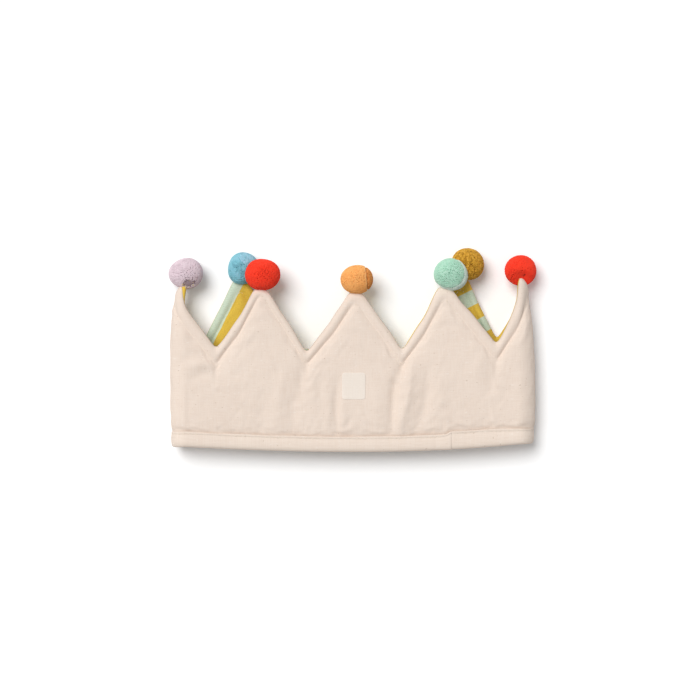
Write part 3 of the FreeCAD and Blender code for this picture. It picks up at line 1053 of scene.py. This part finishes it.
def makePompom(node, seed):
    look = pompoms[node]
    centre, radius = ballPlace(node)
    draw = random.Random(seed)
    planes = [(Vector(way).normalized(), share * radius) for way, share in look["flat"]]
    for first, second in pressed:
        if node in (first, second):
            away = ballPlace(second if node == first else first)[0] - centre
            planes.append((away.normalized(), away.length / 2 - pile["apart"]))
    planes.append((Vector((0, 0, -1)), centre.z - clear["pompom"]))
    lobes = [(scatter(draw).normalized(), draw.uniform(-1, 1)) for _ in range(10)]

    def reach(way):
        bulge = sum(amount * max(way.dot(lobe), 0) ** 3 for lobe, amount in lobes)
        stretch = Vector((way.x * look["shape"][0], way.y * look["shape"][1], way.z)).length
        far = radius * (1 + pile["lobes"] * bulge) * stretch
        for facing, limit in planes:
            lined = way.dot(facing)
            if lined > 0.01:
                far = min(far, limit / lined)
        return far

    golden = math.pi * (3 - math.sqrt(5))
    places, tones, ties = [], [], []
    for index in range(pile["tufts"]):
        height = 1 - 2 * (index + 0.5) / pile["tufts"]
        flat = math.sqrt(1 - height * height)
        way = Vector((flat * math.cos(golden * index), flat * math.sin(golden * index), height))
        way = (way + scatter(draw) * 0.014).normalized()
        tilt = (way + scatter(draw) * 0.08).normalized()
        tall = reach(way) * draw.uniform(0.985, 1.0)
        tone, tie = draw.uniform(0.38, 0.85), 0.0
        if look["paleSide"] == "rim":
            past = math.hypot(way.x + 0.14, way.y - 0.09) - 0.96
            tone += 0.6 if past > 0 else 0
            tall -= 0.9 * max(0, 1 - abs(past) / 0.04)
        elif look["paleSide"] and way.dot(Vector(look["paleSide"]).normalized()) > 0.82:
            tone += 0.4
        # a missing tuft leaves a pit, painted darkest as painted shade
        if draw.random() < look["pits"]:
            tall -= pile["pit"]
            tone = 0.0
        # a groove parts the pile; the lobe beyond it is painted darker as painted shade, and a pale line on
        # its near lip is a painted highlight
        if look["parting"]:
            past = way.x - look["parting"] + 0.1 * way.y
            tall -= 1.5 * max(0, 1 - abs(past) / 0.07)
            tone = tone * 0.25 if past > -0.02 else tone + 0.5 * (past > -0.12)
        # in a hollow the tufts sit lower, mostly painted dark as painted shade, with a few pale bits and
        # tie thread among them
        for spot, spread, depth in look["hollow"]:
            inside = 1 - way.angle(Vector(spot)) / spread
            if inside > 0:
                tall -= depth * min(1, inside * 2)
                tone = draw.choice((0.0, 0.0, 0.3, 1.0))
                tie = 1.0 if draw.random() < look["ties"] else 0.0
        wide = pile["width"] * draw.uniform(0.9, 1.2)
        size = Matrix.Diagonal((wide, wide, pile["long"], 1))
        turn = tilt.to_track_quat("Z", "Y").to_matrix().to_4x4()
        middle = centre + way * (tall - pile["long"] / 2)
        places.append(Matrix.Translation(middle) @ turn @ size)
        tones.append(tone)
        ties.append(tie)

    tuft = bmesh.new()
    bmesh.ops.create_cone(tuft, cap_ends=True, segments=5, radius1=0.7, radius2=0.95, depth=1)
    tuft.faces.ensure_lookup_table()
    top = max(tuft.faces, key=lambda face: face.calc_center_median().z)
    bmesh.ops.poke(tuft, faces=[top], offset=0.12)
    upper = [vert.co.z > 0 for vert in tuft.verts]
    ball, each = repeated(node + "Tufts", tuft, places)
    shade = ball.verts.layers.float.new("tuftToneAndShade")
    tied = ball.verts.layers.float.new("tieThread")
    # each tuft keeps its own random tone, and its lower half is painted darker as painted shade between the
    # tufts
    for index, vert in enumerate(ball.verts):
        vert[shade] = tones[index // each] * (1.0 if upper[index % each] else 0.45)
        vert[tied] = ties[index // each]
    # a core under the pile, painted almost black as painted shade deep between the tufts
    core = bmesh.ops.create_icosphere(ball, subdivisions=4, radius=1.0)
    for vert in core["verts"]:
        way = vert.co.normalized()
        vert.co = centre + way * (reach(way) * pile["core"])
        vert[shade] = 0.1
    thing = newObject(node + "Pile", ball, pompomMaterial(node + "Yarn", look))
    finish(thing, [node])


for seed, node in enumerate(pompoms):
    makePompom(node, seed + 11)
print("pompoms made")


# Table, light and camera
light = {
    "shadow": (0.68, -0.73),     # the way shadows fall
    "elevation": 60.0,
    "spread": 38.0,
    "key": 2.36,
    "room": 0.37,
    "table": (0.86, 1.08),       # as it lights the object, as the camera sees it
    "tableHalf": 3000,
}


def makeTable():
    bm = bmesh.new()
    bmesh.ops.create_grid(bm, x_segments=1, y_segments=1, size=light["tableHalf"])
    look, nodes, links, shader = material("paleTable", 0.9, 0)
    path = nodes.new("ShaderNodeLightPath")
    seen = mathNode(nodes, links, "MAXIMUM", path.outputs["Is Camera Ray"], path.outputs["Is Glossy Ray"])
    seen = mathNode(nodes, links, "MAXIMUM", seen, path.outputs["Is Transmission Ray"])
    greys = [(level, level, level, 1) for level in light["table"]]
    links.new(mixColour(nodes, links, seen, *greys), shader.inputs["Base Color"])
    newObject("table", bm, look)


def makeLight():
    world = bpy.data.worlds.new("paleRoom")
    bpy.context.scene.world = world
    world.use_nodes = True
    room = world.node_tree.nodes["Background"]
    room.inputs["Color"].default_value = (1, 1, 1, 1)
    room.inputs["Strength"].default_value = light["room"]
    lamp = bpy.data.lights.new("keyLamp", "SUN")
    lamp.energy = light["key"]
    lamp.angle = math.radians(light["spread"])
    thing = bpy.data.objects.new("keyLamp", lamp)
    flat = math.cos(math.radians(light["elevation"]))
    aim = Vector((light["shadow"][0] * flat, light["shadow"][1] * flat,
                  -math.sin(math.radians(light["elevation"]))))
    thing.rotation_euler = aim.to_track_quat("-Z", "Y").to_euler()
    bpy.context.scene.collection.objects.link(thing)


def makeCamera():
    lens = bpy.data.cameras.new("camera")
    lens.sensor_width = 36
    wide = photo["pixels"] * photo["scale"]
    lens.lens = lens.sensor_width * (view["height"] - view["plane"]) / wide
    lens.dof.use_dof = False
    camera = bpy.data.objects.new("camera", lens)
    x, y = fromPhoto(photo["pixels"] / 2, photo["pixels"] / 2)
    camera.location = (x * mm, y * mm, view["height"] * mm)
    bpy.context.scene.collection.objects.link(camera)
    bpy.context.scene.camera = camera


makeTable()
makeLight()
makeCamera()
bpy.context.scene.view_settings.view_transform = "Standard"
print("stage ready")
